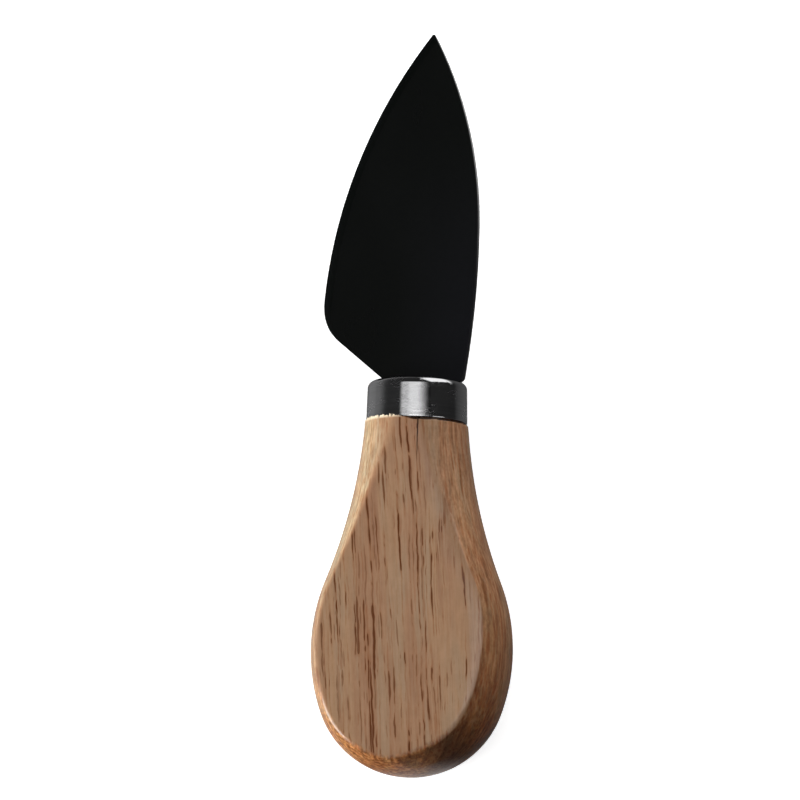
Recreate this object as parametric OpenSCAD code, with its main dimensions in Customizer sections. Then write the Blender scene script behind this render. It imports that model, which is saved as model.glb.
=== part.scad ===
// Small knife for hard cheese, with a pear-shaped wooden handle.
// The stamped, black-coated blade ends in a notched tang. The tang passes through the slot of a
// drawn steel ferrule and is glued into a hole drilled up the turned handle.
// The knife lies on the back flat of its handle: X runs across it, Y runs from the butt to the
// tip with zero at mid-length, and Z is the height above the surface that it lies on.

/* [Handle] */
// Length of the wood that shows, from the butt to the ferrule
handle_len = 60.85; // [54:0.05:75]
// Widest diameter of the turned bulb
bulb_d = 34.6; // [30:0.1:40]
// Distance from the butt end to the widest place of the bulb
bulb_station = 21.7; // [20.5:0.1:25]
// Radius of the bulb's side curve
bulb_curve_r = 32.4; // [28:0.1:45]
// Radius of the hollow curve between the bulb and the neck
waist_curve_r = 93; // [60:1:140]
// How far the turned neck stands proud of the ferrule's side
neck_proud = 0.2; // [0.16:0.02:0.6]
// How far each sanded flat stands proud of the ferrule's side
flat_proud = 0.05; // [0:0.01:0.15]

/* [Ferrule] */
// Length of the ferrule
ferrule_len = 7.25; // [5:0.05:12]
// Outer diameter of the ferrule at its open mouth
ferrule_d = 17.5; // [15:0.1:20]
// Wall of the drawn ferrule
ferrule_wall = 0.8; // [0.5:0.05:1.1]
// Draft of the ferrule's side, in degrees
ferrule_draft = 1.2; // [0.5:0.1:3]
// Outer radius of the ferrule's top shoulder
shoulder_r = 1.2; // [1.2:0.05:2.2]
// Rounding of the outer edge at the ferrule's mouth
mouth_r = 0.3; // [0.1:0.05:0.4]

/* [Blade] */
// Length of the blade, from the ferrule to the tip
blade_len = 61.9; // [50:0.1:80]
// Thickness of the blade
blade_t = 1.5; // [1:0.1:2.5]
// Place of the tip, off the handle's axis towards the spine
tip_x = 1.7; // [0:0.05:4]
// Length that is ground off the sharp point
tip_blunt = 0.3; // [0.1:0.05:0.8]
// Greatest reach of the spine from the axis
spine_x = 10.4; // [9:0.1:14]
// Height above the ferrule at which the spine reaches furthest
spine_y = 27.25; // [18:0.25:34]
// Reach of the spine from the axis where the blade meets the ferrule
spine_base_x = 8.2; // [6:0.1:8.8]
// Greatest reach of the belly's curve from the axis
belly_x = 17.4; // [14:0.1:22]
// Height above the ferrule at which the belly's curve reaches furthest
belly_y = 7.75; // [4:0.25:12]
// Reach of the heel from the axis where the blade meets the ferrule
heel_x = 5.25; // [4.5:0.05:7]
// Lean of the heel's straight edge away from the axis, in degrees
heel_lean = 50; // [40:1:60]
// Radius of the corner between the heel and the belly
heel_r = 8.5; // [3:0.5:10]
// Radius of the corner between the spine and the ferrule
base_corner_r = 1; // [0.4:0.1:2]
// Width of the bevel that is ground along the belly
bevel_w = 1.5; // [0.8:0.1:4]
// Thickness that is left at the cutting edge
edge_t = 0.3; // [0.1:0.05:0.6]

/* [Tang] */
// Width of the tang
tang_w = 7; // [5:0.1:8]
// Length of the tang, from the blade's shoulders to its end
tang_len = 40; // [34:0.5:46]
// Size of the corners cut off at the tang's end
tang_corner = 2; // [1:0.1:2.4]
// Radius of each notch that keys the adhesive
notch_r = 1; // [0.5:0.1:1.4]
// Distance from the tang's end to the first notch
notch_first = 6; // [4:0.5:10]
// Distance from one notch to the next
notch_pitch = 8; // [4:0.5:9]
// Number of notches along each side of the tang
notch_count = 3; // [1:1:3]

/* [Fits] */
// Adhesive between the tang's corners and the wall of its hole
glue_room = 0.3; // [0.1:0.05:0.6]
// Depth of adhesive below the tang's end
glue_depth = 2; // [0.5:0.1:4]
// Gap between the handle's tenon and the ferrule's inner side
tenon_fit = 0.05; // [0.02:0.01:0.2]
// Gap between the tenon's end and the ferrule's inner corner
tenon_gap = 0.3; // [0.1:0.05:1]
// Gap around the tang in the ferrule's slot
slot_fit = 0.15; // [0.05:0.05:0.4]
// Point angle of the drill that makes the tang's hole
drill_angle = 118; // [90:1:140]

/* [Hidden] */
$fn = 180;
// Overshoot of every cutting shape
over = 1;

// Places along the knife
overall_len = handle_len + ferrule_len + blade_len;
butt_y = -overall_len / 2;
bulb_y = butt_y + bulb_station;
neck_y = butt_y + handle_len;
blade_y = neck_y + ferrule_len;
tang_end_y = blade_y - tang_len;

// The knife lies on one of the flats
flats_t = ferrule_d + 2 * flat_proud;
axis_z = flats_t / 2;

// Turned profile: the butt, bulb and waist arcs run into each other without a corner
bulb_r = bulb_d / 2;
neck_r = ferrule_d / 2 + neck_proud;
butt_r = (2 * bulb_curve_r * bulb_r - bulb_r ^ 2 - bulb_station ^ 2) / (2 * (bulb_curve_r - bulb_station));
butt_c = [0, butt_y + butt_r];
bulb_c = [bulb_r - bulb_curve_r, bulb_y];
waist_c = meeting_circles(bulb_c, bulb_curve_r + waist_curve_r, [neck_r, neck_y], waist_curve_r);
butt_end_y = along(bulb_c, butt_c, bulb_curve_r)[1];
waist_start_y = along(bulb_c, waist_c, bulb_curve_r)[1];

// Ferrule, and the tenon and hole that it covers
inner_len = ferrule_len - ferrule_wall;
inner_mouth_r = ferrule_d / 2 - ferrule_wall / cos(ferrule_draft);
inner_corner_r = shoulder_r - ferrule_wall;
tenon_r = inner_mouth_r - tenon_fit;
tenon_len = inner_len - inner_corner_r - tenon_gap;
tenon_end_y = neck_y + tenon_len;
bore_r = norm([tang_w, blade_t]) / 2 + glue_room;
bore_end_y = tang_end_y - glue_depth;

// Blade outline, measured from the ferrule's top on the handle's axis
point_y = blade_len + tip_blunt;
belly_r = arc_r(tip_x + belly_x, point_y - belly_y);
belly_c = [belly_r - belly_x, belly_y];
spine_top_r = arc_r(spine_x - tip_x, point_y - spine_y);
spine_top_c = [spine_x - spine_top_r, spine_y];
spine_low_r = arc_r(spine_x - spine_base_x, spine_y);
spine_low_c = [spine_x - spine_low_r, spine_y];
heel_in = [cos(heel_lean), sin(heel_lean)];
heel_up = [-sin(heel_lean), cos(heel_lean)];
heel_start = [-heel_x, 0] + heel_r * heel_in;
heel_c = heel_start + heel_up * run_to_circle(heel_start - belly_c, heel_up, belly_r - heel_r);
base_corner_c = [
    spine_low_c[0] + sqrt((spine_low_r - base_corner_r) ^ 2 - (spine_y - base_corner_r) ^ 2),
    base_corner_r
];
blade_reach = 2 * max(belly_x, spine_x);
bevel_slope = (blade_t - edge_t) / 2 / bevel_w;

// Radius of the arc that starts parallel to the axis and has moved across by dx after dy
function arc_r(dx, dy) = (dx ^ 2 + dy ^ 2) / (2 * dx);

// Point at distance r from a, in the direction of b
function along(a, b, r) = a + (b - a) * r / norm(b - a);

// Right-hand meeting point of the circles of radius ra around a and rb around b
function meeting_circles(a, ra, b, rb) =
    let (gap = norm(b - a))
    let (u = (b - a) / gap)
    let (s = (ra ^ 2 - rb ^ 2 + gap ^ 2) / (2 * gap))
    a + s * u + sqrt(ra ^ 2 - s ^ 2) * [u[1], -u[0]];

// Distance from point p, along the direction d, to the circle of radius r around the origin
function run_to_circle(p, d, r) = sqrt((p * d) ^ 2 - p * p + r ^ 2) - p * d;

// Meeting point of the tangents at a and b of the circle around c
function tangents_meet(c, a, b) =
    let (u = a - c)
    let (v = b - c)
    c + (u + v) * (u * u) / (u * u + u * v);

// Point beyond p, seen from c
function beyond(c, p) = along(c, p, norm(p - c) + over);

// Rounds one corner of an outline by a circle around c that touches its sides at a and b
module eased_corner(c, r, a, b) {
    difference() {
        children();
        polygon([c, beyond(c, a), beyond(c, tangents_meet(c, a, b)), beyond(c, b)]);
    }
    translate(c)
        circle(r);
}

// Turns a profile, drawn as radius and place along the knife, about the handle's axis.
// The turn starts and ends in the middle of a flat, where the sanding takes its seam away.
module turned() {
    translate([0, 0, axis_z])
        rotate([-90, 0, 0])
            rotate([0, 0, 90])
                rotate_extrude()
                    children();
}

// Keeps what lies between two places along the knife, on the right of the axis
module stretch(from_y, to_y) {
    intersection() {
        children();
        translate([0, from_y])
            square([blade_reach + bulb_d, to_y - from_y]);
    }
}

// Extrudes a blade outline at mid-height of the handle
module sheet() {
    translate([0, blade_y, axis_z - blade_t / 2])
        linear_extrude(blade_t)
            children();
}

module handle_profile() {
    stretch(butt_y, butt_end_y)
        translate(butt_c)
            circle(butt_r);
    stretch(butt_end_y, waist_start_y)
        translate(bulb_c)
            circle(bulb_curve_r);
    difference() {
        translate([0, waist_start_y])
            square([bulb_r, neck_y - waist_start_y]);
        translate(waist_c)
            circle(waist_curve_r);
    }
    translate([0, neck_y])
        polygon([[0, 0], [tenon_r, 0], [tenon_r - tenon_len * tan(ferrule_draft), tenon_len], [0, tenon_len]]);
}

// Hole that the tang is glued into, with the cone that the drill leaves
module tang_hole_profile(top_y) {
    polygon([
        [0, bore_end_y - bore_r / tan(drill_angle / 2)],
        [bore_r, bore_end_y],
        [bore_r, top_y],
        [0, top_y]
    ]);
}

// Drafted cap of mouth radius r, with a rounded shoulder, standing on y = 0
module cap_profile(r, len, corner_r) {
    side = [cos(ferrule_draft), sin(ferrule_draft)];
    c_y = len - corner_r;
    c_x = r - corner_r * side[0] - tan(ferrule_draft) * (c_y + corner_r * side[1]);
    polygon([[0, 0], [r, 0], [c_x, c_y] + corner_r * side, [c_x, c_y], [c_x, len], [0, len]]);
    translate([c_x, c_y])
        circle(corner_r);
}

module ferrule_profile() {
    mouth_c = [ferrule_d / 2 - mouth_r * (1 + sin(ferrule_draft)) / cos(ferrule_draft), mouth_r];
    difference() {
        eased_corner(
            mouth_c,
            mouth_r,
            [mouth_c[0], 0],
            mouth_c + mouth_r * [cos(ferrule_draft), sin(ferrule_draft)]
        )
            cap_profile(ferrule_d / 2, ferrule_len, shoulder_r);
        cap_profile(inner_mouth_r, inner_len, inner_corner_r);
    }
}

module sharp_blade_outline() {
    intersection() {
        translate(belly_c)
            circle(belly_r);
        union() {
            intersection() {
                translate(spine_top_c)
                    circle(spine_top_r);
                translate([-blade_reach, spine_y])
                    square([2 * blade_reach, blade_len]);
            }
            intersection() {
                translate(spine_low_c)
                    circle(spine_low_r);
                translate([-blade_reach, 0])
                    square([2 * blade_reach, spine_y]);
            }
        }
        polygon([
            [-heel_x, 0],
            [blade_reach, 0],
            [blade_reach, blade_len],
            [-blade_reach, blade_len],
            [-blade_reach, (blade_reach - heel_x) / tan(heel_lean)]
        ]);
    }
}

module blade_outline() {
    eased_corner(heel_c, heel_r, heel_c - heel_r * heel_in, along(belly_c, heel_c, belly_r))
        eased_corner(
            base_corner_c,
            base_corner_r,
            [base_corner_c[0], 0],
            along(spine_low_c, base_corner_c, spine_low_r)
        )
            sharp_blade_outline();
}

module tang_outline() {
    half = tang_w / 2;
    difference() {
        polygon([
            [-half, over],
            [half, over],
            [half, tang_corner - tang_len],
            [half - tang_corner, -tang_len],
            [tang_corner - half, -tang_len],
            [-half, tang_corner - tang_len]
        ]);
        for (side = [-1, 1], i = [0 : notch_count - 1])
            translate([side * half, notch_first + i * notch_pitch - tang_len])
                circle(notch_r);
    }
}

// Ring that grinds the bevel off one face of the blade, all along the belly's arc
module bevel_cut() {
    inner = [belly_r - bevel_w - over, blade_t / 2 + over * bevel_slope];
    outer = [belly_r + over, edge_t / 2 - over * bevel_slope];
    translate(belly_c)
        rotate_extrude()
            polygon([inner, outer, [outer[0], inner[1]]]);
}

module blade() {
    color("#1c1c1d") {
        difference() {
            sheet()
                blade_outline();
            translate([0, blade_y, axis_z])
                for (face = [0, 1])
                    mirror([0, 0, face])
                        bevel_cut();
        }
        sheet()
            tang_outline();
    }
}

module ferrule() {
    slot = [tang_w + 2 * slot_fit, ferrule_wall + 2 * over, blade_t + 2 * slot_fit];
    color("silver")
        difference() {
            turned()
                translate([0, neck_y])
                    ferrule_profile();
            translate([-slot[0] / 2, blade_y - ferrule_wall - over, axis_z - slot[2] / 2])
                cube(slot);
        }
}

module handle() {
    color("#a37b57")
        difference() {
            intersection() {
                turned()
                    handle_profile();
                translate([-bulb_d, butt_y - over, axis_z - flats_t / 2])
                    cube([2 * bulb_d, handle_len + ferrule_len + over, flats_t]);
            }
            turned()
                tang_hole_profile(tenon_end_y + over);
        }
}

module tang_adhesive() {
    color("#cbb67c")
        difference() {
            turned()
                tang_hole_profile(tenon_end_y);
            sheet()
                tang_outline();
        }
}

blade();
ferrule();
handle();
tang_adhesive();
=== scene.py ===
# Small hard-cheese knife: black-coated blade, polished ferrule, turned wooden handle with two flats.
import math

import bmesh
import bpy
from mathutils import Matrix, Vector


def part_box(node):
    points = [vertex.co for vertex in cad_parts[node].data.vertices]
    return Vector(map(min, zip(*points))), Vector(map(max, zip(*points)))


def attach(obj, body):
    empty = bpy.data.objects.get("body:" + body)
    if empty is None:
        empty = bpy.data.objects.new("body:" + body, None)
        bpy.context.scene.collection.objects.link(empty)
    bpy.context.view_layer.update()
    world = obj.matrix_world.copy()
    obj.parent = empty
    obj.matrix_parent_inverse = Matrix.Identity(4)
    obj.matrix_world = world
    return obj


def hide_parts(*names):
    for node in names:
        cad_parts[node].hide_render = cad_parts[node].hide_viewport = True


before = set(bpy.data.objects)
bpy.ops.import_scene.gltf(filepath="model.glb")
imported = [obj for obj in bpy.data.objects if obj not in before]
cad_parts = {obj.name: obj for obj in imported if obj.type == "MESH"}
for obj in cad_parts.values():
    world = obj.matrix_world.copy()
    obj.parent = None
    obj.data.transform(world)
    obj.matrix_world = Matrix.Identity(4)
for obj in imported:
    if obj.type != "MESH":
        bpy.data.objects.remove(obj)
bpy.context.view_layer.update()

MM = 0.001
QUARTER_TURN = math.pi / 2

# Sizes from the frame
handle_low, handle_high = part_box("handle")
ferrule_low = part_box("ferrule")[0]
AXIS_Z = (handle_low.z + handle_high.z) / 2
FLAT_HALF = (handle_high.z - handle_low.z) / 2
BUTT_Y = handle_low.y
NECK_Y = ferrule_low.y
TENON_Y = handle_high.y

# Turned profile of the handle, and the ferrule that its neck meets
FERRULE_R = 8.75 * MM
BULB_R = 17.3 * MM
BULB_STATION = 21.7 * MM
BULB_CURVE_R = 32.4 * MM
WAIST_CURVE_R = 93 * MM
NECK_PROUD = 0.2 * MM
NECK_EDGE_R = 0.2 * MM
TENON_R = 7.9 * MM
HOLE_R = 3.88 * MM
HOLE_END_Y = -38.9 * MM
DRILL_POINT = 2.33 * MM

# Sanding of the flats' edges
EDGE_EASING = 0.65 * MM
PALM_EASING = 2.5 * MM
PALM_DROP = 1.0 * MM
PALM_START = -10 * MM
PALM_BLEND = 12 * MM
FACET_END = 11 * MM
FACET_BLEND = 9 * MM
FACET_SHARPNESS = 1.3
PALM_SHAVE = 0.85 * MM
SHAVE_END = 12 * MM
SHAVE_BLEND = 14 * MM
SHAVE_TILT = math.radians(15)
EASING_FADE = 3 * MM
WAIST_EASING = 0.3 * MM
WAIST_BLEND = 15 * MM
NECK_FADE = 1 * MM

# Cosines of the angle about the axis over which the palm's easing and its facet come in, from left to right
PALM_SIDE = (-0.3, 0.5)
FACET_SIDE = (-0.7, -0.3)

# Torn fibres on the left of the ferrule's mouth and the gap on its right
FRAY = 0.8 * MM
FRAY_WIDTH = 0.25 * MM
FRAY_CUT = (0.34, 0.58)
FRAYED_SIDE = (0.1, -0.3)
MOUTH_GAP = 0.3 * MM
GAP_RUNOUT = 2.5 * MM
MOUTH_GAP_WIDTH = 4 * MM
GAP_CUT = (0.1, 0.5)
GAP_SIDE = (-0.05, 0.2)
WEAR_DETAIL = 3.0
WEAR_ROUGHNESS = 0.65

# Radius of the cylinder from which the sides take their grain
TURNED_GRAIN_R = 12 * MM

# Fineness of the handle's mesh
PROFILE_STEP = 0.3 * MM
STRAIGHT_STEP = 4 * PROFILE_STEP
LEAST_ARC_STEPS = 5
SIDES_PER_QUARTER = 60
FLANK_SHARE = 0.27
EDGE_SHARE = 0.67
STEEPEST_EDGE_START = 0.90
EVEN_EDGE_START = 0.55
STEEPEST_EDGE_END = 0.94
MERGE_DISTANCE = 0.002 * MM

# Least values that keep the handle's formulas from dividing by nought
LEAST_EASING = 0.01 * MM
LEAST_SLOPE = 0.05
LEAST_R = 0.1 * MM
LEAST_SINE = 0.0001
# A little less than two, so that the last column of sides stays in the second half
JUST_UNDER_TWO = 1.9999

# Blade
BLADE_EDGE_BREAK = 0.1 * MM
BLADE_EDGE_SEGMENTS = 3
BREAK_ANGLE = math.radians(20)
FACET_ANGLE = math.radians(0.4)

# Camera, fitted to the photograph's outline of the knife
IMAGE_PIXELS = 800
SENSOR = 36.0
FOCAL_PIXELS = 3758
CAMERA_DISTANCE = 0.65
CAMERA_TO_RIGHT = math.radians(14.5)
CAMERA_TO_BUTT = math.radians(9.0)
CAMERA_ROLL = math.radians(1.22)
CAMERA_SHIFT = (-0.02145, 0.00083)

# Lamps: the name of each, the way to it from the knife, its size, its radiance, and whether steel mirrors it
LAMP_DISTANCE = 0.6
LAMP_TARGET_Y = -0.02
LAMPS = (
    ("key_left", (-0.96, 0.0, 0.14), (0.25, 0.2), 23, False),
    ("key_lower_left", (-0.85, -0.38, 0.35), (0.25, 0.3), 11, True),
    ("window_past_the_tip", (0.36, 0.84, 0.40), (0.6, 0.35), 5.5, False),
    ("light_past_the_butt", (-0.75, -0.64, 0.15), (0.2, 0.15), 2.6, False),
    ("light_above", (0.30, -0.10, 0.95), (0.4, 0.4), 0.6, False),
)

# Floor and surroundings, in metres; the glow runs from one distance to another, with the brightness at each
WHITE = (1, 1, 1, 1)
BLACK = (0, 0, 0, 1)
WORLD_DIM = (0.02, 0.02, 0.02, 1)
PAPER = (0.8, 0.8, 0.8, 1)
PAPER_TO_THE_LIGHT = (0.2, 0.2, 0.2, 1)
FLOOR_SIZE = 12
FLOOR_DROP = 0.02 * MM
FLOOR_GLOW = (0.2, 0.8, 0.75, 1.0)
ROOM_HALF = 5.5

# Arches that the steel mirrors: angles in degrees from straight above, then the stretch along Y in metres
ARCH_R = 3
ARCH_STEPS = 24
FERRULE_ARCH = ((-28, 45), (0.565, 0.70))
RIGHT_EDGE_ARCH = ((-9, 45), (-0.6, 0.5))
LOWER_RIM_ARCH = ((-20, 28), (-2.2, -1.2))
LOWER_RIM_GLOW = 1.0
# Their soft ends, as shares of the arch's radius, and their brightness
FERRULE_BAND = ((-0.47, -0.29), (0.70, 0.17), 1.24)
RIGHT_EDGE_BAND = ((-0.15, 0.02), (0.68, 0.3), 2.8)

# Upright cards, in millimetres: the shoulder's stands across the axis, the others along it
SHOULDER_CARD_Y = 90
SHOULDER_CARD = ((18, 0), (155, 0), (155, 159), (91, 114), (43, 73), (18, 50))
SHOULDER_CARD_GLOW = 1.4
RIM_CARD_X = 30
RIM_CARD = ((-26, 18), (-8, 18), (-8, 36), (-26, 36))
RIM_CARD_GLOW = 1.0
LEFT_WALL_X = -600
LEFT_WALL = ((-700, 0), (700, 0), (700, 400), (-700, 400))
# The wall's glow, by height and towards its ends in metres, and the least of it
LEFT_WALL_HEIGHTS = (0.02, 0.36, 0.136, 0.0)
LEFT_WALL_ENDS = (0.65, 0.15)
LEFT_WALL_LEAST = 0.034

# Glow of the mirrored room and floor, from one place to another, with the brightness at each
ROOM_GLOW = (-1, 2, 0.030, 0.024)
BLADE_FLOOR_GLOW = (20 * MM, 45 * MM, 0.085, 1.4)
RIGHT_FLOOR_GLOW = (14 * MM, 42 * MM, 0.096, 0.022)
# Painted shadow of the knife close to the ferrule, then the floor's glow
LEFT_FLOOR_RISE = (10 * MM, 25 * MM, 0.10, 0.23)
LEFT_FLOOR_FALL = (30 * MM, 200 * MM, 0.23, 0.17)
BUTT_FLOOR_GLOW = (3 * MM, 13 * MM, 0.55, 0.04)
# Even glow of the floor beside the handle, and two corners of the stretch of floor beside the blade
HANDLE_FLOOR_GLOW = 0.3
BLADE_FLOOR_LOW = (0, 20 * MM)
BLADE_FLOOR_HIGH = (90 * MM, 300 * MM)


class Nodes:
    """Adds nodes to one tree, so that a formula reads in few lines."""

    def __init__(self, tree):
        self.tree = tree

    def add(self, kind, inputs=None, **settings):
        """A node with its settings, and with inputs set or linked by name or number."""
        node = self.tree.nodes.new(kind)
        for name, value in settings.items():
            setattr(node, name, value)
        self.feed_all(node, inputs or {})
        return node

    def feed(self, socket, value):
        """Links a socket to an output, or gives it a value."""
        if isinstance(value, bpy.types.NodeSocket):
            self.tree.links.new(value, socket)
        else:
            socket.default_value = value

    def feed_all(self, node, inputs):
        """Feeds several inputs of a node, each by its name or number."""
        for key, value in inputs.items():
            self.feed(node.inputs[key], value)

    def math(self, operation, *values):
        """A number worked out from others."""
        return self.add("ShaderNodeMath", dict(enumerate(values)), operation=operation).outputs[0]

    def vector(self, operation, *values):
        """A vector worked out from others."""
        return self.add("ShaderNodeVectorMath", dict(enumerate(values)), operation=operation).outputs[0]

    def product(self, first, *others):
        """All the values multiplied together."""
        for other in others:
            first = self.math("MULTIPLY", first, other)
        return first

    def between(self, first, second, share):
        """A value part of the way from one to another."""
        return self.math("ADD", first, self.math("MULTIPLY", share, self.math("SUBTRACT", second, first)))

    def ramp(self, value, from_low, from_high, to_low=0.0, to_high=1.0, smooth=False):
        """A value mapped from one range to another and held at the ends."""
        node = self.add("ShaderNodeMapRange", interpolation_type="SMOOTHSTEP" if smooth else "LINEAR")
        for socket, number in zip(node.inputs, (value, from_low, from_high, to_low, to_high)):
            self.feed(socket, number)
        return node.outputs[0]

    def parts(self, vector):
        """The X, Y and Z of a vector."""
        return self.add("ShaderNodeSeparateXYZ", {0: vector}).outputs

    def joined(self, x, y, z=0.0):
        """A vector from its X, Y and Z."""
        return self.add("ShaderNodeCombineXYZ", {"X": x, "Y": y, "Z": z}).outputs[0]

    def blend(self, share, first, second):
        """A colour between two others."""
        node = self.add("ShaderNodeMix", data_type="RGBA")
        colours = [socket for socket in node.inputs if socket.type == "RGBA"]
        self.feed(node.inputs[0], share)
        self.feed(colours[0], first)
        self.feed(colours[1], second)
        return [socket for socket in node.outputs if socket.type == "RGBA"][0]

    def attribute(self, name):
        """The outputs of an attribute that the piece's own mesh holds."""
        return self.add("ShaderNodeAttribute", attribute_name=name).outputs

    def turned(self, point, angle):
        """Coordinates turned about Z."""
        return self.add("ShaderNodeMapping", {"Vector": point, "Rotation": (0, 0, angle)}).outputs[0]

    def stretched(self, point, size):
        """Coordinates in which a cell of the given size, in metres, is one unit."""
        scale = [1 / side for side in size]
        return self.add("ShaderNodeMapping", {"Vector": point, "Scale": scale}).outputs[0]

    def noise(self, point, size, detail=2.0, rough=0.5):
        """The outputs of a noise whose lumps have the given size."""
        point = self.stretched(point, size)
        settings = {"Vector": point, "Scale": 1.0, "Detail": detail, "Roughness": rough}
        return self.add("ShaderNodeTexNoise", settings).outputs

    def vessels(self, point, width):
        """Distance to, and random colour of, the nearest of scattered lines that run along Y."""
        place = self.parts(self.stretched(point, (width, 1, width)))
        settings = {"Vector": self.joined(place["X"], place["Z"]), "Scale": 1.0, "Randomness": 1.0}
        return self.add("ShaderNodeTexVoronoi", settings, voronoi_dimensions="2D").outputs

    def bump(self, height, strength, depth):
        """A normal for a relief of the given depth."""
        settings = {"Strength": strength, "Distance": depth, "Height": height}
        return self.add("ShaderNodeBump", settings).outputs[0]


def linked(obj):
    """Puts an object in the scene."""
    bpy.context.scene.collection.objects.link(obj)
    return obj


def fresh_material(name):
    """A new material's node helper, its Principled shader and its Object coordinates."""
    material = bpy.data.materials.new(name)
    material.use_nodes = True
    nodes = Nodes(material.node_tree)
    shader = material.node_tree.nodes["Principled BSDF"]
    point = nodes.add("ShaderNodeTexCoord").outputs["Object"]
    return material, nodes, shader, point


# Finishes

# Colours of the wood: on the flats, in and round the pores, and at the ferrule's mouth, with shade painted in
# its gap
WOOD_TAN = (0.440, 0.264, 0.149, 1)
WOOD_PINK = (0.395, 0.217, 0.123, 1)
WOOD_ROSE = (0.350, 0.186, 0.108, 1)
WOOD_GREY = (0.405, 0.265, 0.163, 1)
WOOD_PALE = (0.52, 0.355, 0.228, 1)
WOOD_HALO = (0.28, 0.105, 0.042, 1)
WOOD_PORE = (0.110, 0.031, 0.009, 1)
# Near-black painted shade in the mouth's gap, also the dark line of the check
WOOD_GAP_SHADE_AND_CHECK = (0.020, 0.008, 0.004, 1)
# Pale torn fibres, partly a painted highlight
WOOD_TORN_AND_HIGHLIGHT = (0.95, 0.8, 0.58, 1)

# Colours that multiply the wood's colour on its left and right sides and on the end grain, part stain and
# part painted light
# On the left side, paler wood and a painted sheen
WOOD_LEFT_PALE_AND_SHEEN = (1.19, 1.5, 1.53, 1)
# On the right side, a darker, more saturated tone and painted shade
WOOD_RIGHT_TONE_AND_SHADE = (0.95, 0.80, 0.66, 1)
WOOD_END = (0.62, 0.40, 0.24, 1)
# Pale end-grain speckles, partly painted glints
WOOD_END_PALE_AND_GLINTS = (1.52, 1.12, 0.68, 1)
# Calmer end grain towards the right, with no painted glints
WOOD_END_CALM = (1.0, 0.70, 0.43, 1)
# Painted shade on the right of the butt
WOOD_END_PAINTED_SHADE = (0.48, 0.37, 0.30, 1)

# The grain's way, and the sizes of its figure
GRAIN_LEAN = math.radians(-4.0)
WANDER = 2.4 * MM
WANDER_SIZE = (16 * MM, 45 * MM, 16 * MM)
QUIVER = 0.6 * MM
QUIVER_SIZE = (2.5 * MM, 9 * MM, 2.5 * MM)
TREMBLE = 0.4 * MM
TREMBLE_SIZE = (1.0 * MM, 2.5 * MM, 1.0 * MM)
CLUSTER_SIZE = (5 * MM, 20 * MM, 5 * MM)
BAND_SIZE = (5 * MM, 110 * MM, 5 * MM)
PATCH_SIZE = (2.5 * MM, 22 * MM, 2.5 * MM)
FIBRE_SIZE = (0.5 * MM, 10 * MM, 0.5 * MM)
STREAK_SIZE = (0.7 * MM, 4.5 * MM, 0.7 * MM)
MOTTLE_SIZE = (1.6 * MM, 2.4 * MM, 1.6 * MM)
SPECKLE_SIZE = (0.8 * MM, 0.8 * MM, 0.6 * MM)
FLECK_SIZE = (0.45 * MM, 0.7 * MM, 0.45 * MM)

# Middle of a noise's range, and how finely a noise is broken up
NOISE_MEAN = 0.5
SLOW_DETAIL = 1.0
FINE_DETAIL = 3.0
FIBRE_ROUGHNESS = 0.6

# Each kind of pore: the width of wood that holds one, its dash length,
# its reach as a share of that width, and its darkness
PORE_KINDS = (
    (1.05 * MM, 22.0 * MM, 0.20, 1.0),
    (0.80 * MM, 16.0 * MM, 0.21, 1.0),
    (0.56 * MM, 12.0 * MM, 0.23, 0.5),
)
SIDE_PORES = (0.80 * MM, 7.0 * MM, 0.30, 0.9)
PORE_SHUFFLE = 100.0
PORE_DETAIL = 3.0
PORE_OPENING = (0.455, 0.645)
PALEST_PORE = 0.6
PORE_CORE = 0.85
HALO_OUTSIDE = 2.1
HALO_INSIDE = 0.8
HALO_STRENGTH = 0.68
SIDE_HALO_STRENGTH = 0.9

# Fine check at the ferrule's mouth
CHECK_X = 2.4 * MM
CHECK_END_Y = -13.4 * MM
CHECK_TAPER = 2 * MM
CHECK_HALF_WIDTH = 0.12 * MM
CHECK_SWAY = 0.3 * MM
CHECK_BLUR = 0.04 * MM
FRONT_FACING = 0.5

# Ramps of the wood: where each starts and ends, and the values there unless they are 0 and 1
CROWDING = (0.7, 1.3, -0.14, 0.14)
LEFT_SIDE = (-0.2, -0.8)
RIGHT_SIDE = (0.2, 0.8)
END_GRAIN = (0.0, -0.6)
END_GRAIN_LIMIT = (0.0, -0.1)
END_SPECKLES = (0.38, 0.62)
END_CALM = (0.15, 0.4, 0.0, 0.65)
# Where the butt's painted shade falls
END_SHADE_FROM_RIGHT = (0.85, 0.5, 0.0, 0.9)
END_SHADE_FROM_MIDDLE = (0.1, 0.45)
END_SHADE_FROM_BELOW = (-0.2, 0.35)
BUTT_POLE = (-0.95, -0.7)
# Share of the left's paler wood and painted sheen along the handle
LEFT_PALENESS_AND_SHEEN = (-40 * MM, -10 * MM, 0.42, 1.0)
# Share of the right's darker tone and painted shade along the handle
RIGHT_TONE_AND_SHADE = (-40 * MM, -10 * MM, 1.0, 0.35)
OPEN_ON_FLATS = (0.96, 0.998, 0.12, 1.0)
PINK_BANDS = (0.38, 0.62)
GREY_PATCHES = (0.48, 0.66, 0.0, 0.8)
ROSE_PATCHES = (0.47, 0.32, 0.0, 0.7)
PALE_FIBRES = (0.5, 0.75, 0.0, 0.2)
RUSTY_FIBRES = (0.48, 0.25, 0.0, 0.15)
MOTTLE_SHADE = (0.3, 0.7, 0.93, 1.03)
FLECKS_TO_SIDE = (0.0, 1.0, 0.12, 0.6)
SHADE_TO_SIDE = (0.0, 1.0, 0.06, 0.25)
# Ramp for the torn fibres and the gap's painted shade
WEAR_AND_SHADE_EDGE = (0.1, 0.6)
WOOD_ROUGHNESS = (0.3, 0.7, 0.42, 0.55)

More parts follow.
